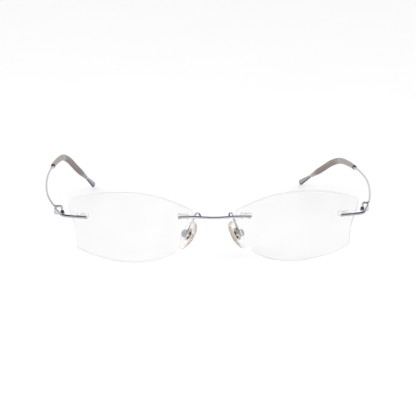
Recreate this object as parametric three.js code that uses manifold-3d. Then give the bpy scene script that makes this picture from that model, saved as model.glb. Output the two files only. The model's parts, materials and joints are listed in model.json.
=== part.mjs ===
// A pair of rimless eyeglasses, opened out and resting on its lenses and temple tips.
//
// Millimetres, +Z up. The lenses face -Y, the temples run back along +Y, and "left" and
// "right" are as seen from the front, so the right-hand side is +X. The finished group
// stands on z = 0 with its footprint centred on the origin.
//
// Each sub-part is built for the right-hand side and mirrored for the left. The two sides
// differ a little at the hinges and the ear bends, as on a pair adjusted to its wearer.

import * as THREE from 'three';
import { mergeVertices } from 'three/addons/utils/BufferGeometryUtils.js';
import Module from 'manifold-3d';

const wasm = await Module();
wasm.setup();

const radians = THREE.MathUtils.degToRad;
const vector = (x, y, z) => new THREE.Vector3(x, y, z);

// ---------------------------------------------------------------- driving dimensions

// Lenses: a curved sheet cut to the outline, wrapped back at its outer side and leaning
// forward at its top.
const LENS_CENTRE = vector(35.93, 1.81, 17.4);
const LENS_TILT = radians(6);
const LENS_WRAP = radians(4.5);
const LENS_CURVE = 130; // radius of the front surface
const LENS_THICKNESS = 2;
const LENS_BULGE = 3; // how far the front surface stands ahead of the lens centre
const DRILL = 1.02; // radius of each hole through a lens

// Two-hole mounts: where the middle of each pair of pegs is, across and up the lens.
const TEMPORAL_MOUNT = { u: 21.1, v: 3.85, spacing: 3.2 };
const NASAL_MOUNT = { u: -22.7, v: 4.2, spacing: 3.2 };
const PEG = 0.45; // radius
const PEG_REACH = 2.3; // how far a peg goes in behind the lens front
const CLEARANCE = 0.06;

// Wires.
const ARM_WIRE = 0.62; // radius of the endpiece arm
const BRIDGE_WIRE = 0.55;
const TEMPLE_WIRE = 0.48;
const PAD_WIRE = 0.46;
const BRIDGE_FRONT = vector(0, -2.7, 21.2); // the bridge's most forward point

// Hinge: a vertical pintle at the end of the temple wire, turning in the endpiece's ear.
const HINGE_BACK = 14.6; // y of both pin axes
const BAR_END = 69.5; // from the middle of the glasses out to the temple wire
const BEND = 0.8; // radius of the hinge wire's bends
const PINTLE = 3.88;
const LEAF = { thickness: 0.75, top: -0.65, bottom: -3.4, length: 8.2, front: -1.15 };
const LEAF_SPLAY = radians(18);
const EAR = { radius: 1.15, bottom: -3.4, top: -2.8 };
const BUSHING = { bore: 0.56, shank: 0.66, flange: 0.77, bottom: -3.4, seat: -2.74, top: -1.75 };
const CAP = { radius: 0.85, bottom: -3.95, top: -3.48 };

// Temple: the wire's line beyond the hinge, as distances out, back and up.
const TEMPLE_LINE = [
  [72.4, 26, 23.1],
  [74.4, 40, 23.55],
  [75.4, 54, 24.1],
  [75.2, 65, 24.5],
  [74, 76.4, 24.9],
  [72.1, 88, 24.8],
  [69.9, 99.5, 23.5],
  [67.2, 110, 19.6],
  [63.9, 120, 13.5],
  [59.3, 128.8, 6.9],
];
const TEMPLE_END = [54.9, 135.9, 0.9];
const SLEEVE_INTERVALS = 5; // the ear sleeve covers the last five intervals of the line
const SLEEVE_BORE = 0.62;
const PADDLE = { root: 0.6, tip: 1.42, thickness: 0.8, round: 1.4 };
const SLEEVE = { mouth: 1.15, swell: 0.45, taper: 0.38 };

// What differs from side to side: the pin's place, how far the wire bows out just behind
// the hinge, how far it is drawn in halfway along, how far the ear bend is raised, how far
// the tip is moved, out, back and up, how much further forward the sleeve starts, in
// intervals of the line, and how much longer the paddle is, as a share of its length.
const LEFT = {
  name: 'left', side: -1, pin: vector(66.15, HINGE_BACK, 22.3),
  bow: 0.3, waist: 0.6, lift: 1.15, tip: [0.43, -1.8, 0.25], sleeve: 0.15,
  longer: 0,
};
const RIGHT = {
  name: 'right', side: 1, pin: vector(66.8, HINGE_BACK, 22.75),
  bow: -0.4, waist: 0, lift: -1.6, tip: [-0.6, 0, 0.55], sleeve: -0.12,
  longer: 0.18,
};

// Nose pads: each lies on its own frame, x outboard, y back along the pad, z up its length.
const PAD_CENTRE = vector(10.4, 13.4, 9.3);
const PAD_LEAN = radians(28); // the top leans in towards the nose
const PAD_SPLAY = radians(35); // the back edge stands further out than the front edge
const PAD = { length: 6.9, width: 3.8, skin: -1.2, back: 0.8, round: 0.6, setBack: 0.6, drop: 0.9 };
const INSERT = { length: 2.9, width: 1.95, depth: 0.6 };
const SCREW_OUT = 1.9; // the screw's distance outboard of the pad's middle
const BOX = { inside: 0.75, outside: 1.35, mouth: 1.15, wall: 2.95, back: 3.45, height: 1.2 };
const FLANGE = 1.75;
const SCREW = { shank: 0.45, head: 0.85, headTop: 2.0, end: 1.6 };

// Facets: sides on a wire, and steps along it between two points of its line.
const WIRE_SIDES = 8;
const ROUND_SIDES = 12;
const STEPS = 3;

// ---------------------------------------------------------------- materials

function metal(colour, roughness) {
  return new THREE.MeshStandardMaterial({ color: colour, roughness, metalness: 1 });
}

function plastic(colour, roughness, opacity = 1) {
  return new THREE.MeshStandardMaterial({
    color: colour, roughness, metalness: 0, opacity, transparent: opacity < 1,
  });
}

const titanium = metal(0xb9bcc2, 0.3);
const polishedSteel = metal(0xd5d7da, 0.15);
const clearLens = plastic(0xeeeef2, 0.03, 0.3);
const clearPlug = plastic(0xf4f2f0, 0.15, 0.5);
const sleeveRubber = plastic(0xa0968e, 0.6);
const padSilicone = plastic(0xefe6dc, 0.25, 0.6);
const tanNylon = plastic(0xcdb79f, 0.45);
const blackNylon = plastic(0x18181a, 0.4);

// ---------------------------------------------------------------- geometry helpers

function solidOf(geometry) {
  const bare = geometry.clone();
  bare.deleteAttribute('normal');
  bare.deleteAttribute('uv');
  const merged = mergeVertices(bare, 1e-4);
  return new wasm.Manifold(new wasm.Mesh({
    numProp: 3,
    vertProperties: Float32Array.from(merged.attributes.position.array),
    triVerts: Uint32Array.from(merged.index.array),
  }));
}

function geometryOf(solid) {
  const { vertProperties, triVerts } = solid.getMesh();
  const geometry = new THREE.BufferGeometry();
  geometry.setAttribute('position', new THREE.BufferAttribute(vertProperties, 3));
  geometry.setIndex(new THREE.BufferAttribute(triVerts, 1));
  geometry.computeVertexNormals();
  return geometry;
}

function join(...geometries) {
  return geometryOf(geometries.map(solidOf).reduce((whole, piece) => whole.add(piece)));
}

function cut(geometry, ...tools) {
  const whole = solidOf(geometry);
  return geometryOf(tools.map(solidOf).reduce((rest, tool) => rest.subtract(tool), whole));
}

function circle(radius) {
  return new THREE.Shape().absarc(0, 0, radius, 0, 2 * Math.PI);
}

function cylinder(radius, low, high, sides = ROUND_SIDES) {
  const rod = new THREE.CylinderGeometry(radius, radius, high - low, sides);
  return rod.rotateX(Math.PI / 2).translate(0, 0, (low + high) / 2);
}

function block(low, high) {
  const size = high.clone().sub(low);
  const middle = low.clone().add(high).multiplyScalar(0.5);
  return new THREE.BoxGeometry(size.x, size.y, size.z).translate(middle.x, middle.y, middle.z);
}

function slab(outline, low, high) {
  const plate = new THREE.ExtrudeGeometry(outline, {
    depth: high - low, bevelEnabled: false, curveSegments: 3,
  });
  return plate.translate(0, 0, low);
}

// A straight extrusion laid along a curve. The section's y follows `up`, and sizeAt gives
// the section's width and height from 0 at the start to 1 at the end.
function sweep(section, sides, curve, steps, { from = 0, to = 1, up, sizeAt = () => [1, 1] }) {
  const geometry = new THREE.ExtrudeGeometry(section, {
    depth: 1, steps, bevelEnabled: false, curveSegments: sides / 2,
  });
  const points = geometry.attributes.position;
  for (let i = 0; i < points.count; i += 1) {
    const along = points.getZ(i);
    const t = from + (to - from) * along;
    const place = curve.getPoint(t);
    const ahead = curve.getTangent(t);
    const across = vector().crossVectors(up, ahead).normalize();
    const upward = vector().crossVectors(ahead, across);
    const [width, height] = sizeAt(along);
    place.addScaledVector(across, points.getX(i) * width);
    place.addScaledVector(upward, points.getY(i) * height);
    points.setXYZ(i, place.x, place.y, place.z);
  }
  return geometry;
}

function wire(points, radius, up = vector(0.3, 0.2, 1)) {
  const curve = new THREE.CatmullRomCurve3(points);
  return sweep(circle(radius), WIRE_SIDES, curve, STEPS * (points.length - 1), { up });
}

// Three points that take a line round a corner on an arc of the given radius.
function roundCorner(before, corner, after, radius) {
  const back = before.clone().sub(corner).normalize();
  const on = after.clone().sub(corner).normalize();
  const half = (Math.PI - back.angleTo(on)) / 2;
  const bisector = back.clone().add(on).normalize();
  return [
    corner.clone().addScaledVector(back, radius * Math.tan(half)),
    corner.clone().addScaledVector(bisector, radius * (1 / Math.cos(half) - 1)),
    corner.clone().addScaledVector(on, radius * Math.tan(half)),
  ];
}

// The left-hand twin of a right-hand geometry.
function mirror(geometry) {
  const twin = geometry.index ? geometry.toNonIndexed() : geometry;
  const flipped = twin.clone().scale(-1, 1, 1);
  const points = flipped.attributes.position;
  const held = vector();
  for (let i = 0; i < points.count; i += 3) {
    held.fromBufferAttribute(points, i + 1);
    points.setXYZ(i + 1, points.getX(i + 2), points.getY(i + 2), points.getZ(i + 2));
    points.setXYZ(i + 2, held.x, held.y, held.z);
  }
  flipped.computeVertexNormals();
  return flipped;
}

// ---------------------------------------------------------------- places

// The frame a lens is drawn in: x outward across it, y up it, z out of its front.
function lensPlace() {
  const turn = new THREE.Euler(Math.PI / 2 + LENS_TILT, 0, LENS_WRAP, 'ZXY');
  return new THREE.Matrix4().makeRotationFromEuler(turn).setPosition(LENS_CENTRE);
}

// The frame of a two-hole mount, within the lens: z is the front surface's normal there.
function mountPlace({ u, v }) {
  const drop = LENS_CURVE - Math.sqrt(LENS_CURVE ** 2 - u ** 2 - v ** 2);
  const surface = vector(u, v, LENS_BULGE - drop);
  const normal = surface.clone().sub(vector(0, 0, LENS_BULGE - LENS_CURVE)).normalize();
  const along = vector(1, 0, 0).addScaledVector(normal, -normal.x).normalize();
  const upward = vector().crossVectors(normal, along);
  return new THREE.Matrix4().makeBasis(along, upward, normal).setPosition(surface);
}

function onMount(mount) {
  return lensPlace().multiply(mountPlace(mount));
}

function padPlace() {
  const turn = new THREE.Euler(0, -PAD_LEAN, -PAD_SPLAY, 'YZX');
  return new THREE.Matrix4().makeRotationFromEuler(turn).setPosition(PAD_CENTRE);
}

// ---------------------------------------------------------------- lenses

function lensOutline() {
  const at = (u, v) => new THREE.Vector2(u, v);
  const outline = new THREE.Shape();
  outline.moveTo(-26, 6.7);
  outline.splineThru([
    at(-20.9, 9.5), at(-12.5, 13), at(-4, 14.8), at(5, 15.1), at(15.4, 14), at(26.2, 10.8),
  ]);
  outline.quadraticCurveTo(27.5, 10.5, 27.2, 9.3);
  outline.splineThru([at(26.4, 5.2), at(24.5, -1), at(24.1, -5), at(23.95, -10)]);
  outline.quadraticCurveTo(23.9, -11.1, 22.9, -11.6);
  outline.splineThru([
    at(16.1, -14.4), at(7.4, -16.5), at(-1, -17.3), at(-10.1, -16.4), at(-17.2, -13.9),
  ]);
  outline.quadraticCurveTo(-18.5, -13.2, -19.3, -12.5);
  outline.splineThru([at(-23.2, -6.7), at(-26.3, 1.1), at(-26.8, 5.3)]);
  outline.quadraticCurveTo(-26.9, 6.2, -26, 6.7);
  return outline;
}

// The curved sheet that the lens is cut from, its front and back surfaces concentric.
function lensBlank() {
  const reach = 32;
  const rings = 4;
  const centre = LENS_BULGE - LENS_CURVE;
  const arc = (radius, ring) => {
    const angle = Math.asin(reach / radius) * ring / rings;
    return new THREE.Vector2(radius * Math.sin(angle), radius * Math.cos(angle) + centre);
  };
  const profile = [];
  for (let ring = 0; ring <= rings; ring += 1) {
    profile.push(arc(LENS_CURVE - LENS_THICKNESS, ring));
  }
  for (let ring = rings; ring >= 0; ring -= 1) {
    profile.push(arc(LENS_CURVE, ring));
  }
  return new THREE.LatheGeometry(profile, 28).rotateX(Math.PI / 2);
}

function drills(mount) {
  return [-0.5, 0.5].map((half) => {
    const drill = cylinder(DRILL, -4, 2).translate(half * mount.spacing, 0, 0);
    return drill.applyMatrix4(mountPlace(mount));
  });
}

function lens() {
  const column = new THREE.ExtrudeGeometry(lensOutline(), {
    depth: 16, bevelEnabled: false, curveSegments: 3,
  }).translate(0, 0, -9);
  const sheet = solidOf(lensBlank()).intersect(solidOf(column));
  return cut(geometryOf(sheet), ...drills(TEMPORAL_MOUNT), ...drills(NASAL_MOUNT));
}

// A clear twin plug: two tubes that fill a pair of drilled holes, joined by a bar behind.
function compressionSleeve(mount) {
  const half = mount.spacing / 2;
  const tube = DRILL - 0.09;
  const lensBack = -LENS_THICKNESS - 0.1;
  const barBack = lensBack - 0.7;
  const bar = new THREE.Shape()
    .absarc(half, 0, tube + 0.2, -Math.PI / 2, Math.PI / 2)
    .absarc(-half, 0, tube + 0.2, Math.PI / 2, 1.5 * Math.PI);
  const pair = (rod) => [-half, half].map((x) => rod.clone().translate(x, 0, 0));
  const tubes = pair(cylinder(tube, lensBack - 0.2, -0.05));
  const bores = pair(cylinder(PEG + 0.07, -PEG_REACH - 0.15, 1));
  const plug = cut(join(slab(bar, barBack, lensBack), ...tubes), ...bores);
  return plug.applyMatrix4(mountPlace(mount));
}

// ---------------------------------------------------------------- bridge and endpieces

function pegs(mount) {
  return [-0.5, 0.5].map((half) => {
    const peg = cylinder(PEG, -PEG_REACH, ARM_WIRE, WIRE_SIDES);
    return peg.translate(half * mount.spacing, 0, 0).applyMatrix4(onMount(mount));
  });
}

function bridge() {
  const height = BRIDGE_WIRE + CLEARANCE;
  const rim = vector(-4, -0.12, height).applyMatrix4(onMount(NASAL_MOUNT));
  const end = vector(NASAL_MOUNT.spacing / 2 + 0.8, 0, height).applyMatrix4(onMount(NASAL_MOUNT));
  const shoulder = rim.clone().lerp(BRIDGE_FRONT, 0.45);
  shoulder.y -= 0.2;
  const right = [BRIDGE_FRONT, shoulder, rim, end];
  const left = right.slice(1).reverse().map((p) => vector(-p.x, p.y, p.z));
  const bar = wire([...left, ...right], BRIDGE_WIRE);
  const rightPegs = pegs(NASAL_MOUNT);
  return join(bar, ...rightPegs, ...rightPegs.map(mirror));
}

// The upright leaf behind the arm's bend, drawn from the side: x runs back to the hinge.
function leaf(pin) {
  const { length, top, bottom, thickness, front } = LEAF;
  const side = new THREE.Shape();
  side.moveTo(0, front - 0.4);
  side.quadraticCurveTo(length * 0.45, front - 0.5, length * 0.6, bottom + 0.8);
  side.quadraticCurveTo(length * 0.7, bottom, length * 0.82, bottom);
  side.lineTo(length * 0.9, bottom);
  side.quadraticCurveTo(length, bottom, length, bottom + 0.8);
  side.lineTo(length, top);
  side.lineTo(length - 1.5, top);
  side.lineTo(length - 1.5, 0.15);
  side.lineTo(length - 2.1, 0.15);
  side.quadraticCurveTo(length - 2.5, top, length * 0.55, top - 0.05);
  side.lineTo(0, front + 0.4);
  const plate = slab(side, -thickness / 2, thickness / 2);
  plate.rotateX(Math.PI / 2).rotateZ(Math.PI / 2).translate(0, -length, 0);
  plate.rotateZ(-LEAF_SPLAY);
  return plate.translate(BAR_END, pin.y + 0.7, pin.z);
}

// The ear: a level tab from the leaf's foot in to the pin, with the bushing's hole.
function ear(pin) {
  const outside = BAR_END - pin.x;
  const tab = new THREE.Shape()
    .absarc(0, 0, EAR.radius, Math.PI / 2, 1.5 * Math.PI)
    .lineTo(outside - 0.15, -1.1)
    .lineTo(outside - 0.15, 0.4);
  const hole = cylinder(BUSHING.shank + CLEARANCE, EAR.bottom - 1, EAR.top + 1);
  return cut(slab(tab, EAR.bottom, EAR.top), hole).translate(pin.x, pin.y, pin.z);
}

function endpiece(pin) {
  const mount = onMount(TEMPORAL_MOUNT);
  const height = ARM_WIRE + CLEARANCE;
  const end = vector(-TEMPORAL_MOUNT.spacing / 2 - 0.5, 0, height).applyMatrix4(mount);
  const rim = vector(5.2, 0, height).applyMatrix4(mount);
  const alongLeaf = vector(Math.sin(LEAF_SPLAY), Math.cos(LEAF_SPLAY), 0);
  const leafBack = vector(BAR_END, pin.y + 0.7, pin.z + LEAF.front);
  const leafFront = leafBack.addScaledVector(alongLeaf, -LEAF.length);
  const insideLeaf = leafFront.clone().add(alongLeaf);
  const corner = rim.clone().add(vector(3.1, 0.8, 0.1));
  const bend = roundCorner(rim, corner, leafFront, 3);
  const arm = wire([end, rim, ...bend, insideLeaf], ARM_WIRE);
  return join(arm, ...pegs(TEMPORAL_MOUNT), leaf(pin), ear(pin));
}

// ---------------------------------------------------------------- hinge small parts

function ring(profile) {
  const closed = [...profile, profile[0]].map(([r, z]) => new THREE.Vector2(r, z));
  return new THREE.LatheGeometry(closed, ROUND_SIDES).rotateX(Math.PI / 2);
}

// A flanged black sleeve in the ear, which the pintle turns in.
function bushing() {
  const { bore, shank, flange, bottom, seat, top } = BUSHING;
  const outside = [[shank, bottom], [shank, seat], [flange, seat], [flange, top]];
  return ring([[bore, bottom], ...outside, [bore, top]]);
}

// The cap pressed on the pintle's end, below the ear.
function retainingCap() {
  const { radius, bottom, top } = CAP;
  const outside = [[radius - 0.2, bottom], [radius, bottom + 0.2], [radius, top]];
  return ring([[BUSHING.bore, bottom], ...outside, [BUSHING.bore, top]]);
}

// ---------------------------------------------------------------- temples

// The wire's centre line from the pintle's foot to the paddle, measured from the pin.
function templeCurve({ side, pin, bow, waist, lift, tip, longer }) {
  const place = ([out, back, up]) => {
    const share = (back - pin.y) / (TEMPLE_END[1] - pin.y);
    const late = share ** 6;
    const spread = bow * Math.sin(Math.PI * Math.min(1, 4 * share));
    const draw = waist * Math.sin(Math.PI * share) ** 4;
    const raise = lift * Math.sin(Math.PI * share ** 1.6);
    return vector(
      side * (out + spread - draw + tip[0] * late - pin.x),
      back + tip[1] * late - pin.y,
      up + raise + tip[2] * late - pin.z,
    );
  };
  const line = TEMPLE_LINE.map(place);
  const root = line[line.length - 1];
  const end = place(TEMPLE_END);
  const growth = end.clone().sub(root).multiplyScalar(longer);
  root.addScaledVector(growth, -0.7);
  end.addScaledVector(growth, 0.3);
  const foot = vector(0, 0, -PINTLE);
  const pinTop = vector(0, 0, 0);
  const barEnd = vector(side * (BAR_END - pin.x), 0, 0);
  const points = [
    foot,
    vector(0, 0, -BEND - 0.4),
    ...roundCorner(foot, pinTop, barEnd, BEND),
    ...roundCorner(pinTop, barEnd, line[0], BEND),
    ...line,
  ];
  return { curve: new THREE.CatmullRomCurve3(points), points, end };
}

// The flattened end of the wire: a flat plate with its broad faces to the side.
function paddle(root, end) {
  const along = end.clone().sub(root).normalize();
  const length = end.distanceTo(root);
  const outline = new THREE.Shape();
  outline.moveTo(0.05, -PADDLE.root);
  outline.lineTo(length - PADDLE.round, -PADDLE.tip);
  outline.quadraticCurveTo(length, -PADDLE.tip, length, 0);
  outline.quadraticCurveTo(length, PADDLE.tip, length - PADDLE.round, PADDLE.tip);
  outline.lineTo(0.05, PADDLE.root);
  const sideways = vector().crossVectors(along, vector(0, 0, 1)).normalize();
  const upward = vector().crossVectors(sideways, along);
  const place = new THREE.Matrix4().makeBasis(along, upward, sideways).setPosition(root);
  return slab(outline, -PADDLE.thickness / 2, PADDLE.thickness / 2).applyMatrix4(place);
}

function templeWire(hand) {
  const { curve, points, end } = templeCurve(hand);
  const steps = STEPS * (points.length - 1);
  const up = vector(-hand.side, -1, 1.2);
  const rod = sweep(circle(TEMPLE_WIRE), WIRE_SIDES, curve, steps, { up });
  const root = points[points.length - 1];
  return join(rod, paddle(root.clone().lerp(end, 0.01), end), stub(root, end));
}

// A short round core that carries the wire into the paddle.
function stub(root, end) {
  const ahead = root.clone().lerp(end, 0.25);
  const behind = root.clone().lerp(end, -0.03);
  const line = new THREE.LineCurve3(behind, ahead);
  return sweep(circle(TEMPLE_WIRE - 0.02), WIRE_SIDES, line, 1, { up: vector(0, 0, 1) });
}

// The sleeve's half width and half height along it: it swells round the ear bend, keeps
// its size down to the tip, and closes in at its end.
function sleeveSize(along) {
  const swell = SLEEVE.swell * Math.sin(Math.PI / 2 * Math.min(1, along / 0.6)) ** 1.2;
  const taper = SLEEVE.taper * THREE.MathUtils.smoothstep(along, 0.87, 1);
  const height = (SLEEVE.mouth + swell) * (1 - taper);
  return [height * 0.88, height];
}

// Where the sleeve's mouth lies on the wire, from 0 at the pintle's foot to 1.
function sleeveStart(hand, points) {
  return 1 - (SLEEVE_INTERVALS + hand.sleeve) / (points.length - 1);
}

function tipSleeve(hand) {
  const { curve, points } = templeCurve(hand);
  const intervals = points.length - 1;
  const from = sleeveStart(hand, points);
  const steps = SLEEVE_INTERVALS * STEPS;
  const up = vector(0, 0, 1);
  const outside = sweep(circle(1), ROUND_SIDES, curve, steps, { from, up, sizeAt: sleeveSize });
  return cut(outside, sleeveBore(curve, intervals, from));
}

// The sleeve's bore follows the wire exactly and runs out past both of its ends.
function sleeveBore(curve, intervals, from) {
  const spare = 1 / intervals / STEPS;
  const up = vector(0, 0, 1);
  const section = circle(SLEEVE_BORE);
  const steps = SLEEVE_INTERVALS * STEPS + 1;
  const inner = sweep(section, WIRE_SIDES, curve, steps, { from: from - spare, up });
  const end = curve.getPoint(1);
  const ahead = end.clone().addScaledVector(curve.getTangent(1), 1);
  const wayOut = new THREE.LineCurve3(end.clone().lerp(ahead, -0.05), ahead);
  return join(inner, sweep(section, WIRE_SIDES, wayOut, 1, { up }));
}

// The bright collar on the wire just ahead of the sleeve.
function tipFerrule(hand) {
  const { curve, points } = templeCurve(hand);
  const start = sleeveStart(hand, points);
  const mouth = curve.getPoint(start);
  const ahead = curve.getTangent(start);
  const outside = [[0.72, -1.05], [0.86, -0.85], [0.86, -0.06]];
  const collar = ring([[SLEEVE_BORE, -1.05], ...outside, [SLEEVE_BORE, -0.06]]);
  const turn = new THREE.Quaternion().setFromUnitVectors(vector(0, 0, 1), ahead);
  return collar.applyQuaternion(turn).translate(mouth.x, mouth.y, mouth.z);
}

// ---------------------------------------------------------------- nose pads

// Turns a plate drawn in (y, z) so that its thickness runs along x.
function padPlate(outline, low, high, bevel = 0) {
  const plate = new THREE.ExtrudeGeometry(outline, {
    depth: high - low - 2 * bevel,
    bevelEnabled: bevel > 0,
    bevelThickness: bevel,
    bevelSize: bevel,
    bevelOffset: -bevel,
    bevelSegments: 2,
    curveSegments: 10,
  });
  plate.translate(0, 0, low + bevel);
  const turn = new THREE.Matrix4().makeBasis(vector(0, 1, 0), vector(0, 0, 1), vector(1, 0, 0));
  return plate.applyMatrix4(turn);
}

function oval(width, length) {
  return new THREE.Shape().absellipse(0, 0, width, length, 0, 2 * Math.PI);
}

// The cushion is egg-shaped, wider above its middle, with a pocket for its insert. It
// hangs a little below and behind the insert.
function nosePad() {
  const { width, length } = PAD;
  const egg = new THREE.Shape();
  egg.moveTo(0, length);
  egg.bezierCurveTo(width * 0.8, length, width, length * 0.55, width, length * 0.12);
  egg.bezierCurveTo(width, -length * 0.45, width * 0.62, -length, 0, -length);
  egg.bezierCurveTo(-width * 0.62, -length, -width, -length * 0.45, -width, length * 0.12);
  egg.bezierCurveTo(-width, length * 0.55, -width * 0.8, length, 0, length);
  const cushion = padPlate(egg, PAD.skin, PAD.back, PAD.round).translate(0, PAD.setBack, -PAD.drop);
  const opening = oval(INSERT.width + CLEARANCE, INSERT.length + CLEARANCE);
  return cut(cushion, padPlate(opening, PAD.back - INSERT.depth - CLEARANCE, 2));
}

// An oval plate in the cushion's pocket, with a drilled lug that the screw holds.
function padInsert() {
  const plate = padPlate(oval(INSERT.width, INSERT.length), PAD.back - INSERT.depth, PAD.back);
  const lug = join(
    block(vector(PAD.back - 0.3, -0.66, -0.75), vector(SCREW_OUT, 0.66, 0.75)),
    screwRod(0.75, -0.66, 0.66),
  );
  return cut(join(plate, lug), screwRod(SCREW.shank + 0.07, -2, 2));
}

// A cylinder on the screw's axis, from one place along it to another.
function screwRod(radius, low, high) {
  return cylinder(radius, -high, -low).rotateX(Math.PI / 2).translate(SCREW_OUT, 0, 0);
}

// A round flange with two cheeks that the insert's lug sits between.
function padBox() {
  const { inside, outside, mouth, wall, back, height } = BOX;
  const flange = padPlate(circle(FLANGE), wall, back);
  const cheeks = [-1, 1].map((end) => {
    const [near, far] = [end * inside, end * outside].sort((a, b) => a - b);
    return block(vector(mouth, near, -height), vector(wall + 0.2, far, height));
  });
  return cut(join(flange, ...cheeks), screwRod(SCREW.shank + 0.07, -3, 3));
}

function padScrew() {
  const shank = screwRod(SCREW.shank, -BOX.outside - 0.3, SCREW.end);
  const head = screwRod(SCREW.head, -SCREW.headTop, -BOX.outside - CLEARANCE);
  const slotFoot = -SCREW.headTop + 0.25;
  const slot = block(vector(SCREW_OUT - 0.13, slotFoot - 1, -1), vector(SCREW_OUT + 0.13, slotFoot, 1));
  return cut(join(shank, head), slot);
}

// A thin wire from the back of the bridge, up and over, then down to the pad box.
function padArm() {
  const box = vector(2.2, -0.2, BOX.height + PAD_WIRE + 0.35).applyMatrix4(padPlace());
  return wire([
    vector(6.1, BRIDGE_FRONT.y + 1.25, 21.3),
    vector(6.6, 1.6, 21.9),
    vector(7.8, 4.7, 21.2),
    vector(9.0, 7.2, 17.7),
    vector(10.0, 9.4, 14.9),
    box,
  ], PAD_WIRE);
}

// ---------------------------------------------------------------- assembly

function part(name, geometry, material) {
  const mesh = new THREE.Mesh(geometry, material);
  mesh.name = name;
  return mesh;
}

function group(name, matrix, ...children) {
  const frame = new THREE.Group();
  frame.name = name;
  frame.applyMatrix4(matrix);
  frame.add(...children);
  return frame;
}

// The same frame on the left, as seen in a mirror.
function mirrorPlace(matrix) {
  const flip = new THREE.Matrix4().makeScale(-1, 1, 1);
  return flip.clone().multiply(matrix).multiply(flip);
}

function sideParts(hand) {
  const { name, side, pin } = hand;
  const sided = (geometry) => (side > 0 ? geometry : mirror(geometry));
  const place = (matrix) => (side > 0 ? matrix : mirrorPlace(matrix));
  const atHinge = new THREE.Matrix4().setPosition(side * pin.x, pin.y, pin.z);
  return [
    group(`${name}_lens_frame`, place(lensPlace()),
      part(`${name}_lens`, sided(lens()), clearLens),
      part(`${name}_temporal_plug`, sided(compressionSleeve(TEMPORAL_MOUNT)), clearPlug),
      part(`${name}_nasal_plug`, sided(compressionSleeve(NASAL_MOUNT)), clearPlug)),
    part(`${name}_endpiece`, sided(endpiece(pin)), titanium),
    group(`${name}_hinge_frame`, atHinge,
      part(`${name}_hinge_bushing`, bushing(), blackNylon),
      part(`${name}_hinge_cap`, retainingCap(), polishedSteel),
      part(`${name}_temple_wire`, templeWire(hand), titanium),
      part(`${name}_tip_ferrule`, tipFerrule(hand), polishedSteel),
      part(`${name}_tip_sleeve`, tipSleeve(hand), sleeveRubber)),
    part(`${name}_pad_arm`, sided(padArm()), titanium),
    group(`${name}_pad_frame`, place(padPlace()),
      part(`${name}_pad_box`, sided(padBox()), titanium),
      part(`${name}_pad_screw`, sided(padScrew()), polishedSteel),
      part(`${name}_pad_insert`, sided(padInsert()), tanNylon),
      part(`${name}_nose_pad`, sided(nosePad()), padSilicone)),
  ];
}

// Stands the group on z = 0 with its footprint centred on the origin.
function settle(object) {
  object.updateMatrixWorld(true);
  const box = new THREE.Box3().setFromObject(object, true);
  const middle = box.getCenter(vector());
  object.position.set(0, -middle.y, -box.min.z);
  object.updateMatrixWorld(true);
  return object;
}

const glasses = new THREE.Group();
glasses.name = 'rimless_eyeglasses';
glasses.add(part('bridge', bridge(), titanium));
glasses.add(...sideParts(LEFT));
glasses.add(...sideParts(RIGHT));
settle(glasses);

export default glasses;
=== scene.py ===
"""Looks for a pair of rimless eyeglasses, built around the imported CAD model.

Dimensions are in millimetres, in the frame that the CAD source is drawn in: x to the right
as seen from in front, y back along the temples, z up. to_scene() takes them to the row
frame, in metres. Pieces are drawn for the right-hand side and mirrored for the left.
"""

import json
import math

import bmesh
import bpy
import numpy as np
from mathutils import Matrix, Vector


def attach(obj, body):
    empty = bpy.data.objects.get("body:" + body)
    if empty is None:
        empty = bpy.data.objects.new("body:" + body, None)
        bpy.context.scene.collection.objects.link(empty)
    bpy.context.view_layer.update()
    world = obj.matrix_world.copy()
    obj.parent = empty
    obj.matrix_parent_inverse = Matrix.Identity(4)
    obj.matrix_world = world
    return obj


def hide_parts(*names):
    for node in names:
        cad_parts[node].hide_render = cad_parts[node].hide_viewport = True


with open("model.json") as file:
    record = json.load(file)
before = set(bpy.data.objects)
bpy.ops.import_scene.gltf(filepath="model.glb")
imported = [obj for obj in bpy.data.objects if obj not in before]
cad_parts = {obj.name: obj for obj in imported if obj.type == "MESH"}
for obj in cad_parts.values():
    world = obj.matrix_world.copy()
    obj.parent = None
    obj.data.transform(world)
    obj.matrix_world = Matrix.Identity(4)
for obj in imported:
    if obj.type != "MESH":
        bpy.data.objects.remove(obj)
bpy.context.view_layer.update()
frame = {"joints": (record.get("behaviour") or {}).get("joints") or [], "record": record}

MM = 0.001

# ---- dimensions

# Round things are given by their radii, and CLEARANCE is the gap between parts that meet.
CLEARANCE = 0.06
EDGE_ROUNDING = 0.12
SHARP_ANGLE = math.radians(50)

# The powers of a bar's section that make it round, and flat with rounded corners.
ROUND = 2.0
FLAT = 4.5

# A lens's own frame has its z axis forward, and its front stands LENS_BULGE out of that
# frame at the middle. LENS_CURVE is the front's radius.
LENS_CENTRE = np.array((35.93, 1.81, 17.4))
LENS_TILT = math.radians(6)
LENS_WRAP = math.radians(4.5)
LENS_CURVE = 130.0
LENS_THICKNESS = 2.0
LENS_BULGE = 3.0
LENS_BEVEL = 0.2

# Each mount is a pair of drilled holes about the point u, v on the front of the lens.
TEMPORAL_MOUNT = {"u": 21.1, "v": 3.85, "spacing": 3.2}
NASAL_MOUNT = {"u": -22.7, "v": 4.2, "spacing": 3.2}
DRILL = 1.02
PEG = 0.45
PEG_REACH = 2.3
PLUG = {"tube": DRILL - 0.09, "bore": PEG + 0.07, "lip": 0.2, "behind": 0.1, "bar": 0.7}

ARM_WIRE = 0.62
BRIDGE_WIRE = 0.55
TEMPLE_WIRE = 0.48
PAD_WIRE = 0.46

# The bridge's middle, and how far it runs past its pegs, to the lens's rim and below it.
BRIDGE_FRONT = np.array((0, -2.7, 21.2))
BRIDGE = {"past_peg": 0.8, "rim": 4, "rim_drop": 0.12, "shoulder": 0.45, "shoulder_bow": 0.2}

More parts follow.
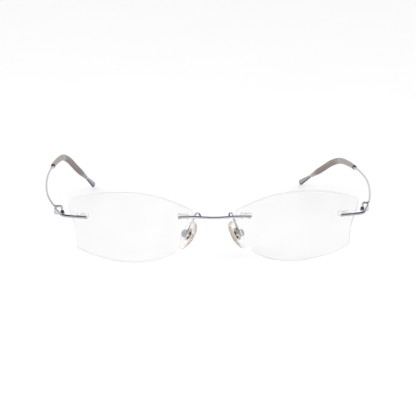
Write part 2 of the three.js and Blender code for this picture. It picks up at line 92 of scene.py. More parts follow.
# The arm's bend beside the lens: the rim, and the corner that is rounded, from the rim.
ARM = {"past_peg": 0.5, "rim": 5.2, "bend": 3}
ARM_CORNER = (3.1, 0.8, 0.1)

# The hinge: a bar at the top runs out to BAR_END, and the pintle hangs from its inner end.
BAR_END = 69.5
BEND = 0.8
PINTLE = 3.88
LEAF_LENGTH = 8.2
LEAF_THICKNESS = 0.75
LEAF_SPLAY = math.radians(18)
LEAF_BEHIND_PIN = 0.7
LEAF_DROP = 1.15
# The leaf's upper and lower edges, below the hinge, at shares of its length from the front.
LEAF_EDGES = (
    (0.0, -0.55, -1.76),
    (0.2, -0.64, -1.8),
    (0.4, -0.7, -2.02),
    (0.55, -0.7, -2.5),
    (0.7, -0.68, -3.1),
    (0.82, -0.66, -3.38),
    (1.0, -0.66, -3.3),
)
# The shares of the leaf's length where its own rings start, and by which it is flat.
LEAF_START = 0.12
LEAF_FLAT = 0.5
EAR = {"radius": 1.15, "bottom": -3.4, "top": -2.8, "inset": 0.15, "front": -1.1, "back": 0.4}
STOP = {"low": (-0.33, -2.1, -1.2), "high": (0.33, -1.5, 0.12)}
BUSHING = {"bore": 0.56, "shank": 0.66, "flange": 0.77, "bottom": -3.4, "seat": -2.74, "top": -1.75}
CAP = {"radius": 0.85, "bottom": -3.95, "top": -3.48}

TEMPLE_LINE = (
    (72.4, 26, 23.1),
    (74.4, 40, 23.55),
    (75.4, 54, 24.1),
    (75.2, 65, 24.5),
    (74, 76.4, 24.9),
    (72.1, 88, 24.8),
    (69.9, 99.5, 23.5),
    (67.2, 110, 19.6),
    (63.9, 120, 13.5),
    (59.3, 128.8, 6.9),
)
TEMPLE_END = np.array((54.9, 135.9, 0.9))
# Half heights at the paddle's root and tip, its thickness, the length of its rounded end,
# and the length over which the round wire is flattened.
PADDLE = {"root": 0.6, "tip": 1.42, "thickness": 0.8, "round": 1.4, "flattening": 1.5}

# The sleeve covers the last intervals of the line. Its half height is given at its mouth,
# with how much it swells and the share it closes in by at its end.
SLEEVE_INTERVALS = 5
SLEEVE_BORE = 0.62
SLEEVE = {"mouth": 1.15, "swell": 0.45, "taper": 0.38, "width": 0.88}
# MOUTH_BAND: how far back from the sleeve's mouth it is painted dark, as painted shade in the
# hollow mouth, and the width and depth of the line pressed in behind that.
MOUTH_BAND = {"length": 1.4, "line": 0.25, "depth": 0.1}
RIB_PITCH = 1.8
RIB_DEPTH = 0.16

# The pad's length and width are half sizes. Its skin and back are the front and back of it
# along its thickness, and it sits back from, and lower than, the middle of its insert.
PAD_CENTRE = np.array((10.4, 13.4, 9.3))
PAD_LEAN = math.radians(28)
PAD_SPLAY = math.radians(35)
PAD = {"length": 6.9, "width": 3.8, "skin": -1.2, "back": 0.8, "set_back": 0.6, "drop": 0.9}
INSERT = {"length": 2.9, "width": 1.95, "depth": 0.6}
INSERT_SLOT = {"half": 1.35, "radius": 0.44, "depth": 0.4, "place": (0, -1.24, -0.1)}
LUG = {"half_width": 0.66, "half_height": 0.75, "root": 0.3}
SCREW_OUT = 1.9
BOX = {"inside": 0.75, "outside": 1.35, "mouth": 1.15, "wall": 2.95, "back": 3.45, "height": 1.2}
FLANGE = 1.75
SCREW = {"shank": 0.45, "bore": 0.52, "head": 0.85, "head_top": 2.0, "end": 1.6}
SCREW_SLOT = {"half_width": 0.14, "depth": 0.3}

# The pad arm's line, from the back of the bridge, over its loop and down towards the box.
PAD_ARM_LINE = (
    (6.1, BRIDGE_FRONT[1] + 0.6, 21.25),
    (6.6, 1.6, 21.9),
    (7.8, 4.7, 21.2),
    (9.0, 7.2, 17.7),
    (10.0, 9.4, 14.9),
)

# What differs from side to side: the pin's place, how far the temple bows out behind the
# hinge, is drawn in halfway along, and is raised at the ear, how far its tip is moved, how
# much further forward the sleeve starts, in intervals of the line, and how much longer the
# paddle is, as a share of its length.
LEFT = {
    "name": "left",
    "side": -1,
    "pin": np.array((66.15, 14.6, 22.3)),
    "bow": 0.3,
    "waist": 0.6,
    "lift": 1.15,
    "tip": np.array((0.43, -1.8, 0.25)),
    "sleeve": 0.15,
    "longer": 0.0,
}
RIGHT = {
    "name": "right",
    "side": 1,
    "pin": np.array((66.8, 14.6, 22.75)),
    "bow": -0.4,
    "waist": 0.0,
    "lift": -1.6,
    "tip": np.array((-0.6, 0.0, 0.55)),
    "sleeve": -0.12,
    "longer": 0.18,
}

# The camera stands above the glasses' middle height, a little to the left of them.
CAMERA = {"down": 15.24, "turn": 3.332, "roll": -0.395, "focal_length": 115.8, "sensor": 36}
CAMERA_PLACE = (-35.2, -555.3, 176.5)

# Metres: the floor lies just under the glasses, and reaches past what any view shows.
FLOOR_HALF = 10.0
FLOOR_DROP = 0.00002

# ---- frame

JOINTS = {joint["name"]: joint for joint in frame["joints"]}
SHIFT = np.array(JOINTS["right_temple_fold"]["pos_m"]) / MM - RIGHT["pin"]
BODY_OF = {
    node: body
    for body, nodes in frame["record"]["behaviour"]["bodies"].items()
    for node in nodes
}


def to_scene(points, side=1):
    """Points in millimetres, mirrored if side is -1, as metres in the row frame."""
    moved = np.asarray(points, float) * (side, 1, 1) + SHIFT
    return moved * MM


def named(hand, node, suffix, rings, **options):
    """A piece for one side's CAD node, which keeps the node's name with a suffix."""
    return mesh_from_rings(f"{hand['name']}_{node}_{suffix}", rings, hand["side"], **options)


def stand_in(piece, hand, node, slot, *materials):
    """Paints a piece and puts it in the place of one side's CAD node, which is hidden."""
    paint(piece, *materials)
    name = f"{hand['name']}_{node}" if hand else node
    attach(piece, BODY_OF[name])
    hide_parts(name)


# ---- lines


def unit(vector):
    vector = np.asarray(vector, float)
    return vector / np.linalg.norm(vector)


def smoothstep(value, low, high):
    """Rises from 0 at low to 1 at high, and is level at both ends."""
    share = np.clip((value - low) / (high - low), 0, 1)
    return share**2 * (3 - 2 * share)


def curve_point(points, t):
    """A point on the centripetal Catmull-Rom curve through points, t from 0 to 1."""
    place = t * (len(points) - 1)
    i = min(int(place), len(points) - 2)
    weight = place - i
    p1, p2 = points[i], points[i + 1]
    p0 = points[i - 1] if i > 0 else 2 * p1 - p2
    p3 = points[i + 2] if i + 2 < len(points) else 2 * p2 - p1
    d0, d1, d2 = (math.sqrt(np.linalg.norm(b - a)) for a, b in ((p0, p1), (p1, p2), (p2, p3)))
    t1 = ((p1 - p0) / d0 - (p2 - p0) / (d0 + d1) + (p2 - p1) / d1) * d1
    t2 = ((p2 - p1) / d1 - (p3 - p1) / (d1 + d2) + (p3 - p2) / d2) * d1
    c2 = -3 * p1 + 3 * p2 - 2 * t1 - t2
    c3 = 2 * p1 - 2 * p2 + t1 + t2
    return p1 + t1 * weight + c2 * weight**2 + c3 * weight**3


def curve_through(points, start=0.0, end=1.0, steps=24):
    """Closely spaced points on the smooth curve through a few points."""
    points = [np.asarray(p, float) for p in points]
    count = max(2, int(steps * (len(points) - 1) * (end - start)))
    return np.array([curve_point(points, t) for t in np.linspace(start, end, count)])


def distances(line):
    return np.concatenate(([0], np.cumsum(np.linalg.norm(np.diff(line, axis=0), axis=1))))


def resample(line, spacing, trim=0.0):
    """Even points along a line, with trim taken off both ends."""
    run = distances(line)
    count = max(2, int((run[-1] - 2 * trim) / spacing) + 1)
    at = np.linspace(trim, run[-1] - trim, count)
    return np.stack([np.interp(at, run, line[:, axis]) for axis in range(3)], axis=1)


def round_corner(before, corner, after, radius):
    """Three points that take a line round a corner on an arc."""
    back, on = unit(before - corner), unit(after - corner)
    half = (math.pi - math.acos(np.clip(back @ on, -1, 1))) / 2
    return [
        corner + back * radius * math.tan(half),
        corner + unit(back + on) * radius * (1 / math.cos(half) - 1),
        corner + on * radius * math.tan(half),
    ]


def frames_along(line, up):
    """For each point of a line, its direction and the two directions across it, carried
    along from its last point, where the second of them is nearest to up."""
    ahead = np.gradient(line, axis=0)
    ahead /= np.linalg.norm(ahead, axis=1)[:, None]
    upward = np.zeros_like(line)
    carried = np.asarray(up, float)
    for i in range(len(line) - 1, -1, -1):
        carried = unit(carried - (carried @ ahead[i]) * ahead[i])
        upward[i] = carried
    return ahead, np.cross(upward, ahead), upward


# ---- meshes


def mesh_from_rings(name, rings, side=1, loop=False, row_materials=None, fields=None):
    """A closed surface through rows of points. loop joins the last row to the first, as in
    a tube with a bore; otherwise both ends are closed. The UV map runs round each row, and
    along the rows in millimetres, or in rows where they are a loop. fields are named values
    for each row and point."""
    rings = np.asarray(rings, float)
    rows, columns = rings.shape[:2]
    row_materials = row_materials or [0] * rows
    run = np.arange(rows) if loop else distances(rings.mean(axis=1))
    faces, marks, corners = [], [], []
    for row in range(rows if loop else rows - 1):
        after = (row + 1) % rows
        near, far = row * columns, after * columns
        for column in range(columns):
            on = (column + 1) % columns
            faces.append([near + column, near + on, far + on, far + column])
            marks.append(row_materials[row])
            low, high = column / columns, (column + 1) / columns
            corners += [(low, run[row]), (high, run[row]), (high, run[after]), (low, run[after])]
    if not loop:
        for row in (0, rows - 1):
            faces.append([row * columns + column for column in range(columns)])
            marks.append(row_materials[min(row, rows - 2)])
            corners += [(0.0, run[row])] * columns
    mesh = bpy.data.meshes.new(name)
    mesh.from_pydata(to_scene(rings.reshape(-1, 3), side).tolist(), [], faces)
    mesh.polygons.foreach_set("material_index", marks)
    uv = mesh.uv_layers.new(name="along")
    uv.data.foreach_set("uv", np.array(corners, float).ravel())
    for field, values in (fields or {}).items():
        attribute = mesh.attributes.new(field, "FLOAT", "POINT")
        attribute.data.foreach_set("value", np.asarray(values, float).ravel())
    return finished(name, mesh)


def finished(name, mesh):
    """An object of a mesh, its faces turned outwards and smooth except at sharp edges."""
    whole = bmesh.new()
    whole.from_mesh(mesh)
    bmesh.ops.recalc_face_normals(whole, faces=whole.faces)
    whole.to_mesh(mesh)
    whole.free()
    mesh.polygons.foreach_set("use_smooth", [True] * len(mesh.polygons))
    mesh.set_sharp_from_angle(angle=SHARP_ANGLE)
    piece = bpy.data.objects.new(name, mesh)
    bpy.context.scene.collection.objects.link(piece)
    return piece


def section(sides, power):
    """Points round a rounded square: a circle at power 2, squarer above that."""
    angle = np.arange(sides) * 2 * math.pi / sides
    x, y = np.cos(angle), np.sin(angle)
    share = 2 / power
    return np.stack([np.sign(x) * abs(x) ** share, np.sign(y) * abs(y) ** share], axis=1)


def sweep_rings(line, size, rounding, up=(0, 0, 1), power=ROUND, sides=24):
    """Rings of a bar along a line. size is a radius, or a half width and half height for
    each point. The ends have rounded edges, beyond the line's own ends."""
    ahead, across, upward = frames_along(line, up)
    sizes = np.zeros((len(line), 2)) + size
    powers = np.zeros(len(line)) + power

    def ring(i, inset, offset):
        xy = section(sides, powers[i]) * np.maximum(sizes[i] - inset, 0.01)
        return line[i] + ahead[i] * offset + xy[:, :1] * across[i] + xy[:, 1:] * upward[i]

    turns = [math.radians(a) for a in (90, 65, 40, 15)]
    last = len(line) - 1
    start = [ring(0, rounding * (1 - math.cos(a)), -rounding * math.sin(a)) for a in turns]
    end = [ring(last, rounding * (1 - math.cos(a)), rounding * math.sin(a)) for a in turns[::-1]]
    return np.array(start + [ring(i, 0, 0) for i in range(len(line))] + end)


def wire_rings(points, radius, rounding, spacing=0.3):
    line = resample(curve_through(points), spacing, trim=rounding)
    return sweep_rings(line, radius, up=(0.3, 0.2, 1), rounding=rounding)


def turned(profile, place, sides=48):
    """Rings of a turned part: radius and height pairs about the z axis of a place."""
    angle = np.arange(sides) * 2 * math.pi / sides
    rings = [[(r * math.cos(a), r * math.sin(a), z) for a in angle] for r, z in profile]
    return moved_by(place, np.array(rings))


def bore(radius, low, high, place):
    """Rings of a rod from low to high along the z axis of a place, to carve a hole with."""
    return turned([(radius, low), (radius, high)], place)


def moved_by(place, points):
    points = np.asarray(points, float)
    flat = points.reshape(-1, 3) @ place[:3, :3].T + place[:3, 3]
    return flat.reshape(points.shape)


def plate_rings(outline, low, high, place, rounding=None):
    """Rings of a flat plate from low to high along z. Its edges are rounded, or left square
    for a cutting tool."""
    normals = outline_normals(outline)

    def ring(inset, z):
        flat = outline - normals * inset
        return np.column_stack([flat, np.full(len(flat), z)])

    if rounding is None:
        rows = [(0, low), (0, high)]
    else:
        turns = [math.radians(a) for a in (90, 60, 30, 0)]
        lower = [(rounding * (1 - math.cos(a)), low + rounding * (1 - math.sin(a))) for a in turns]
        upper = [(inset, high + low - z) for inset, z in reversed(lower)]
        support = 1.6 * rounding
        rows = [(support, low), *lower, *upper, (support, high)]
    return moved_by(place, np.array([ring(inset, z) for inset, z in rows]))


def outline_normals(outline):
    """Outward directions at the points of a closed, counter-clockwise outline."""
    ahead = np.roll(outline, -1, axis=0) - np.roll(outline, 1, axis=0)
    ahead /= np.linalg.norm(ahead, axis=1)[:, None]
    return np.column_stack([ahead[:, 1], -ahead[:, 0]])


def oval(width, length, count=64):
    angle = np.arange(count) * 2 * math.pi / count
    return np.column_stack([width * np.cos(angle), length * np.sin(angle)])


def stadium(half, radius, count=20):
    turn = np.linspace(-math.pi / 2, math.pi / 2, count)
    right = np.column_stack([half + radius * np.cos(turn), radius * np.sin(turn)])
    return np.concatenate([right, -right])


def block_rings(low, high, place, rounding=EDGE_ROUNDING):
    """Rings of a block with rounded edges."""
    low, high = np.array(low), np.array(high)
    centre, half = (low + high)[:2] / 2, (high - low)[:2] / 2
    corners = []
    for sx, sy, start in ((1, 1, 0), (-1, 1, 90), (-1, -1, 180), (1, -1, 270)):
        middle = centre + (half - rounding) * (sx, sy)
        for a in (0, 30, 60, 90):
            turn = math.radians(start + a)
            corners.append(middle + rounding * np.array((math.cos(turn), math.sin(turn))))
    return plate_rings(np.array(corners), low[2], high[2], place, rounding * 0.9)


def apply_modifiers(piece):
    graph = bpy.context.evaluated_depsgraph_get()
    mesh = bpy.data.meshes.new_from_object(piece.evaluated_get(graph))
    piece.modifiers.clear()
    old = piece.data
    piece.data = mesh
    bpy.data.meshes.remove(old)


def apply_boolean(piece, tool, operation):
    modifier = piece.modifiers.new("join", "BOOLEAN")
    modifier.operation = operation
    modifier.solver = "MANIFOLD"
    modifier.object = tool
    apply_modifiers(piece)
    bpy.data.objects.remove(tool)
    piece.data.set_sharp_from_angle(angle=SHARP_ANGLE)


def fuse(piece, side, shapes):
    for rings in shapes:
        apply_boolean(piece, mesh_from_rings("shape", rings, side), "UNION")


def carve(piece, side, shapes):
    for rings in shapes:
        apply_boolean(piece, mesh_from_rings("shape", rings, side), "DIFFERENCE")


def carve_painted_shade(piece, side, rings):
    """Carves a recess whose faces take the piece's second material, as painted shade."""
    tool = mesh_from_rings("recess", rings, side)
    paint(tool, *piece.data.materials)
    tool.data.polygons.foreach_set("material_index", [1] * len(tool.data.polygons))
    apply_boolean(piece, tool, "DIFFERENCE")


def turned_ring(hand, node, suffix, profile, place, material, slot):
    """A turned part with a bore, which takes a node's place."""
    piece = named(hand, node, suffix, turned(profile, place), loop=True)
    stand_in(piece, hand, node, slot, material)


def forged(piece, voxel, passes):
    """Runs fused shapes together into one skin, with small fillets where they meet."""
    remesh = piece.modifiers.new("skin", "REMESH")
    remesh.mode = "VOXEL"
    remesh.voxel_size = voxel * MM
    remesh.use_smooth_shade = True
    smooth = piece.modifiers.new("fillets", "SMOOTH")
    smooth.factor = 0.5
    smooth.iterations = passes
    apply_modifiers(piece)
    piece.data.polygons.foreach_set("use_smooth", [True] * len(piece.data.polygons))


def paint(piece, *materials):
    """Fills the piece's material slots in order; its faces keep their slot numbers."""
    slots = piece.data.materials
    while len(slots) < len(materials):
        slots.append(None)
    for number, material in enumerate(materials):
        slots[number] = material


# ---- places


def rotation(axis, angle):
    return np.array(Matrix.Rotation(angle, 4, axis))


def at(position, turn=None):
    place = np.eye(4) if turn is None else np.array(turn, float)
    place[:3, 3] = position
    return place


def lens_place():
    return at(LENS_CENTRE, rotation("Z", LENS_WRAP) @ rotation("X", math.pi / 2 + LENS_TILT))


def mount_place(mount):
    """The frame of a pair of drilled holes, within the lens: z is the surface's normal."""
    u, v = mount["u"], mount["v"]
    surface = np.array((u, v, front_height(u, v)))
    normal = unit(surface - (0, 0, LENS_BULGE - LENS_CURVE))
    along = unit(np.array((1, 0, 0)) - normal[0] * normal)
    place = np.eye(4)
    place[:3, 0], place[:3, 1], place[:3, 2] = along, np.cross(normal, along), normal
    place[:3, 3] = surface
    return place


def hole_places(mount):
    """The frames of a mount's two holes."""
    place = on_mount(mount)
    return [place @ at((half * mount["spacing"], 0, 0)) for half in (-0.5, 0.5)]


def on_mount(mount):
    return lens_place() @ mount_place(mount)


def pad_place():
    """A nose pad's frame: x outboard, y back along the pad, z up its length."""
    return at(PAD_CENTRE, rotation("Y", -PAD_LEAN) @ rotation("Z", -PAD_SPLAY))


# A plate drawn across x and y, turned so that it lies across y and z of the pad's frame.
PAD_PLATE = np.array([[0, 0, 1, 0], [1, 0, 0, 0], [0, 1, 0, 0], [0, 0, 0, 1]], float)


def point_on(place, x, y, z):
    return (place @ (x, y, z, 1))[:3]


# ---- materials


def set_ramp(color_ramp, stops):
    """Gives a colour ramp its stops, each a place from 0 to 1 and a colour or a grey."""
    elements = color_ramp.elements
    while len(elements) < len(stops):
        elements.new(0.5)
    for element, (place, colour) in zip(elements, stops):
        element.position = place
        element.color = (colour,) * 3 + (1,) if np.isscalar(colour) else (*colour, 1)


class Shader:
    """A material's Principled shader, and the nodes that feed it. Sizes are in millimetres."""

    def __init__(self, name, **values):
        self.material = bpy.data.materials.new(name)
        self.material.use_nodes = True
        self.tree = self.material.node_tree
        self.inputs = self.tree.nodes["Principled BSDF"].inputs
        for socket, value in values.items():
            self.inputs[socket.replace("_", " ")].default_value = value

    def feed(self, socket, source):
        """Links an output to an input, or gives the input a constant."""
        if hasattr(source, "is_output"):
            self.tree.links.new(source, socket)
        else:
            socket.default_value = source

    def node(self, kind, inputs=None, **settings):
        made = self.tree.nodes.new(kind)
        for name, value in settings.items():
            setattr(made, name, value)
        for socket, source in (inputs or {}).items():
            self.feed(made.inputs[socket], source)
        return made

    def texture(self, coordinates, stretch, scale, detail):
        source = self.node("ShaderNodeTexCoord").outputs[coordinates]
        mapping = self.node("ShaderNodeMapping", {"Vector": source, "Scale": stretch})
        inputs = {"Vector": mapping.outputs["Vector"], "Scale": scale, "Detail": detail}
        return self.node("ShaderNodeTexNoise", inputs).outputs["Fac"]

    def noise(self, size, detail, stretch=(1, 1, 1)):
        """Noise with features of a size on the object, and finer where it is stretched."""
        return self.texture("Object", stretch, 1 / (size * MM), detail)

    def streaks(self, around, along):
        """Noise with many features round a piece and few along it, by its UV map."""
        return self.texture("UV", (around, along, 1), 1.0, 3)

    def field(self, name):
        return self.node("ShaderNodeAttribute", attribute_name=name).outputs["Fac"]

    def ramp(self, source, *stops):
        """Colours, or greys, against a source from 0 to 1."""
        made = self.node("ShaderNodeValToRGB", {"Fac": source})
        set_ramp(made.color_ramp, stops)
        return made.outputs["Color"]

    def spread(self, noise, low, high):
        """Colours, or greys, from low to high over the values that noise mostly has."""
        return self.ramp(noise, (0.3, low), (0.7, high))

    def mix(self, share, low, high, blend="MIX"):
        made = self.node("ShaderNodeMix", data_type="RGBA", blend_type=blend)
        # In this node the colours are inputs 6 and 7, and the mixed colour is output 2.
        for number, source in ((0, share), (6, low), (7, high)):
            self.feed(made.inputs[number], source)
        return made.outputs[2]

    def finish(self, colour, roughness, relief=None, depth=0.0):
        """Links the surface's colour, roughness and relief, and returns the material."""
        self.feed(self.inputs["Base Color"], colour)
        self.feed(self.inputs["Roughness"], roughness)
        if relief is not None:
            inputs = {"Height": relief, "Distance": depth * MM, "Strength": 1.0}
            bump = self.node("ShaderNodeBump", inputs)
            self.feed(self.inputs["Normal"], bump.outputs["Normal"])
        return self.material


def titanium(name, dark, light, rough, patches=2.5, flattened=False):
    """Drawn wire: a satin skin with faint lines along it and cloudy patches. Where it is flattened,
    the pressed faces are greyer, with painted shade darkest along their lower edge."""
    s = Shader(name, Metallic=1.0)
    drawn = s.streaks(30, 0.25)
    cloud = s.noise(patches, detail=3)
    both = s.mix(0.45, s.spread(cloud, 0.0, 1.0), s.spread(drawn, 0.0, 1.0))
    colour = s.ramp(both, (0.1, dark), (0.9, light))
    if flattened:
        # Painted shade: the flattened faces darken towards their lower edge.
        face, painted_lower_shade = (0.56, 0.57, 0.63), (0.17, 0.155, 0.16)
        pressed = s.ramp(s.field("pressed"), (0.0, 1.0), (0.5, face), (1.0, painted_lower_shade))
        colour = s.mix(1.0, colour, pressed, blend="MULTIPLY")
    roughness = s.ramp(both, (0.1, rough + 0.05), (0.9, rough - 0.05))
    relief = s.mix(0.6, drawn, s.noise(0.12, detail=2))
    return s.finish(colour, roughness, relief, depth=0.004)


def polished_steel():
    s = Shader("polished_steel", Metallic=1.0)
    colour = s.spread(s.noise(0.6, detail=3), (0.7, 0.7, 0.72), (0.8, 0.8, 0.82))
    roughness = s.spread(s.noise(0.15, detail=3), 0.1, 0.2)
    return s.finish(colour, roughness, relief=s.noise(0.08, detail=2), depth=0.0015)


def lens_glass():
    """Clear, with a faint cast and a few slightly hazy patches."""
    s = Shader("lens_glass", IOR=1.5, Transmission_Weight=1.0)
    colour = s.spread(s.noise(9, detail=2), (0.93, 0.924, 0.93), (0.955, 0.95, 0.955))
    return s.finish(colour, s.ramp(s.noise(14, detail=3), (0.45, 0.0), (0.9, 0.03)))


def lens_edge():
    """The ground edge: satin and mostly clouded, with fine grinding lines."""
    s = Shader("lens_edge", IOR=1.5, Transmission_Weight=0.25)
    lines = s.noise(0.25, detail=3, stretch=(1, 6, 1))
    colour = s.spread(lines, (0.85, 0.83, 0.82), (0.93, 0.915, 0.91))
    return s.finish(colour, s.spread(lines, 0.42, 0.28), relief=lines, depth=0.01)


def clear_plastic():
    s = Shader("clear_plastic", IOR=1.45, Transmission_Weight=0.45)
    cloud = s.noise(0.7, detail=3)
    colour = s.spread(cloud, (0.94, 0.91, 0.91), (0.99, 0.97, 0.98))
    roughness = s.spread(cloud, 0.22, 0.1)
    return s.finish(colour, roughness, relief=s.noise(0.2, detail=2), depth=0.006)


def silicone():
    """Clear, with a painted tan tint along its front rim, which stands for light that runs the
    length of the pad.
    """
    s = Shader(
        "pad_silicone",
        IOR=1.41,
        Transmission_Weight=0.6,
        Subsurface_Weight=0.2,
        Subsurface_Radius=(0.0012, 0.001, 0.0008),
        Subsurface_Scale=1.0,
    )
    clear = s.spread(s.noise(1.6, detail=3), (0.95, 0.935, 0.92), (0.985, 0.98, 0.97))
    # Painted tint: the rim field mixes in the tan that stands for light run through the pad.
    colour = s.mix(s.field("rim"), clear, (0.62, 0.53, 0.46, 1))
    roughness = s.spread(s.noise(0.9, detail=2), 0.16, 0.26)
    return s.finish(colour, roughness, relief=s.noise(0.5, detail=2), depth=0.01)


def tan_nylon():
    s = Shader("tan_nylon", Subsurface_Weight=0.15, Subsurface_Radius=(0.0006, 0.0004, 0.0002))
    colour = s.spread(s.noise(0.8, detail=4), (0.6, 0.49, 0.37), (0.72, 0.61, 0.48))
    roughness = s.spread(s.noise(0.2, detail=3), 0.38, 0.52)
    return s.finish(colour, roughness, relief=s.noise(0.1, detail=3), depth=0.006)


# Black nylon for the bushings; the same material paints the shade in the slots of the inserts and
# screws.
def black_nylon():
    s = Shader("black_nylon")
    cloud = s.noise(0.5, detail=4)
    colour = s.spread(cloud, (0.012, 0.009, 0.009), (0.03, 0.024, 0.022))
    roughness = s.spread(cloud, 0.32, 0.46)
    return s.finish(colour, roughness, relief=s.noise(0.1, detail=3), depth=0.004)


def sleeve_rubber():
    """Taupe rubber with faint streaks along it, and painted shade in its grooves."""
    s = Shader("sleeve_rubber", Sheen_Weight=0.15, Sheen_Roughness=0.4)
    cloud = s.spread(s.noise(2.2, detail=4), (0.285, 0.247, 0.222), (0.37, 0.328, 0.3))
    streak = s.streaks(26, 0.12)
    streaked = s.mix(s.ramp(streak, (0.45, 0.0), (0.75, 0.3)), cloud, (0.5, 0.46, 0.43, 1))
    # Painted shade: the groove field darkens the grooves, and a little of the ribbed underside.
    colour = s.mix(s.field("groove"), streaked, (0.1, 0.074, 0.066, 1))
    roughness = s.spread(s.noise(0.4, detail=4), 0.46, 0.6)
    relief = s.mix(0.5, streak, s.noise(0.12, detail=3))
    return s.finish(colour, roughness, relief, depth=0.012)


# Near-black paint for the band at the sleeve's mouth and for its bore: painted shade in the hollow
# mouth.
def painted_mouth_shade():
    s = Shader("painted_mouth_shade")
    cloud = s.noise(0.6, detail=4)
    colour = s.spread(cloud, (0.014, 0.01, 0.012), (0.032, 0.024, 0.027))
    roughness = s.spread(cloud, 0.4, 0.55)
    return s.finish(colour, roughness, relief=s.noise(0.12, detail=3), depth=0.008)


def floor_card():
    s = Shader("floor_card", Specular_IOR_Level=0.15)
    cloud = s.noise(60, detail=3)
    return s.finish(s.spread(cloud, 0.895, 0.905), s.spread(cloud, 0.44, 0.5))


# ---- lenses


def front_height(u, v):
    return LENS_BULGE - LENS_CURVE + np.sqrt(LENS_CURVE**2 - u**2 - v**2)


def back_height(u, v):
    return LENS_BULGE - LENS_CURVE + np.sqrt((LENS_CURVE - LENS_THICKNESS) ** 2 - u**2 - v**2)


def spline(points, steps=14):
    """A smooth run from the first of some points through the others, short of the last."""
    p = np.array([points[0], *points, points[-1]], float)
    run = []
    for i in range(1, len(p) - 2):
        leaving, arriving = (p[i + 1] - p[i - 1]) / 2, (p[i + 2] - p[i]) / 2
        c2 = 3 * (p[i + 1] - p[i]) - 2 * leaving - arriving
        c3 = 2 * (p[i] - p[i + 1]) + leaving + arriving
        run += [p[i] + leaving * t + c2 * t**2 + c3 * t**3 for t in np.arange(steps) / steps]
    return run


def bezier(*controls, steps=24):
    """Points along the curve that a few control points draw, short of its end."""
    last = len(controls) - 1
    run = []
    for t in np.arange(steps) / steps:
        weights = [math.comb(last, k) * t**k * (1 - t) ** (last - k) for k in range(last + 1)]
        run.append(np.array(weights) @ np.array(controls, float))
    return run


def lens_outline(count=360):
    """Clockwise runs of the outline, resampled evenly and turned counter-clockwise."""
    upper = [(-26, 6.7), (-20.9, 9.5), (-12.5, 13), (-4, 14.8), (5, 15.1), (15.4, 14), (26.2, 10.8)]
    outer = [(27.2, 9.3), (26.4, 5.2), (24.5, -1), (24.1, -5), (23.95, -10)]
    lower = [
        (22.9, -11.6), (16.1, -14.4), (7.4, -16.5), (-1, -17.3), (-10.1, -16.4), (-17.2, -13.9),
    ]
    inner = [(-19.3, -12.5), (-23.2, -6.7), (-26.3, 1.1), (-26.8, 5.3)]
    sides = (upper, outer, lower, inner)
    corners = ((27.5, 10.5), (23.9, -11.1), (-18.5, -13.2), (-26.9, 6.2))
    run = []
    for side, corner, following in zip(sides, corners, sides[1:] + sides[:1]):
        run += spline(side) + bezier(side[-1], corner, following[0], steps=10)
    line = np.array([*run, run[0]])
    run = distances(line)
    even = np.linspace(0, run[-1], count, endpoint=False)
    outline = np.column_stack([np.interp(even, run, line[:, axis]) for axis in (0, 1)])
    for _ in range(3):
        outline = (np.roll(outline, 1, axis=0) + 2 * outline + np.roll(outline, -1, axis=0)) / 4
    return outline[::-1]


def lens_rings():
    """Rows from the middle of the front, over the edge, to the middle of the back."""
    outline = lens_outline()
    normals = outline_normals(outline)
    inner = outline - normals * LENS_BEVEL * 1.5
    bevel = outline - normals * LENS_BEVEL
    shares = np.linspace(0.03, 1, 16)
    edge = LENS_BEVEL * 1.1

    def row(flat, height, below=0.0):
        return np.column_stack([flat, height(flat[:, 0], flat[:, 1]) - below])

    front = [row(inner * share, front_height) for share in shares]
    front.append(row(bevel, front_height))
    rim = [row(outline, front_height, edge), row(outline, front_height, edge * 1.5)]
    rim += [row(outline, back_height, -edge * 1.5), row(outline, back_height, -edge)]
    back = [row(bevel, back_height)]
    back += [row(inner * share, back_height) for share in shares[::-1]]
    marks = [0] * len(front) + [1] * len(rim) + [0] * len(back)
    marks[len(front) - 1] = 1
    return moved_by(lens_place(), np.array(front + rim + back)), marks


def drills(mount):
    low, high = -2 * LENS_THICKNESS, LENS_THICKNESS
    return [bore(DRILL, low, high, place) for place in hole_places(mount)]


def lens(hand, glass, edge):
    rings, marks = lens_rings()
    piece = named(hand, "lens", "glass", rings, row_materials=marks)
    paint(piece, glass, edge)
    carve(piece, hand["side"], drills(TEMPORAL_MOUNT) + drills(NASAL_MOUNT))
    piece.visible_shadow = False
    stand_in(piece, hand, "lens", "lens")


def plug(hand, kind, mount, material):
    """A clear twin plug: a tube in each drilled hole, joined by a bar behind the lens."""
    side, tube, node = hand["side"], PLUG["tube"], f"{kind}_plug"
    back = -LENS_THICKNESS - PLUG["behind"]
    outline = stadium(mount["spacing"] / 2, tube + PLUG["lip"])
    bar = plate_rings(outline, back - PLUG["bar"], back, on_mount(mount), rounding=0.14)
    piece = named(hand, node, "clear", bar)
    profile = [(tube, back - 0.2), (tube, -0.12), (tube - 0.07, -0.05)]
    places = hole_places(mount)
    fuse(piece, side, [turned(profile, place) for place in places])
    carve(piece, side, [bore(PLUG["bore"], -2.45, 1, place) for place in places])
    piece.visible_shadow = False
    stand_in(piece, hand, node, "clear_plug", material)


# ---- bridge and endpieces


def pegs(mount):
    """The two pegs that run through a lens from a wire on its front."""
    profile = [
        (PEG - 0.1, -PEG_REACH), (PEG, -PEG_REACH + 0.1), (PEG, 0.2), (PEG + 0.05, ARM_WIRE),
    ]
    return [turned(profile, place, sides=32) for place in hole_places(mount)]


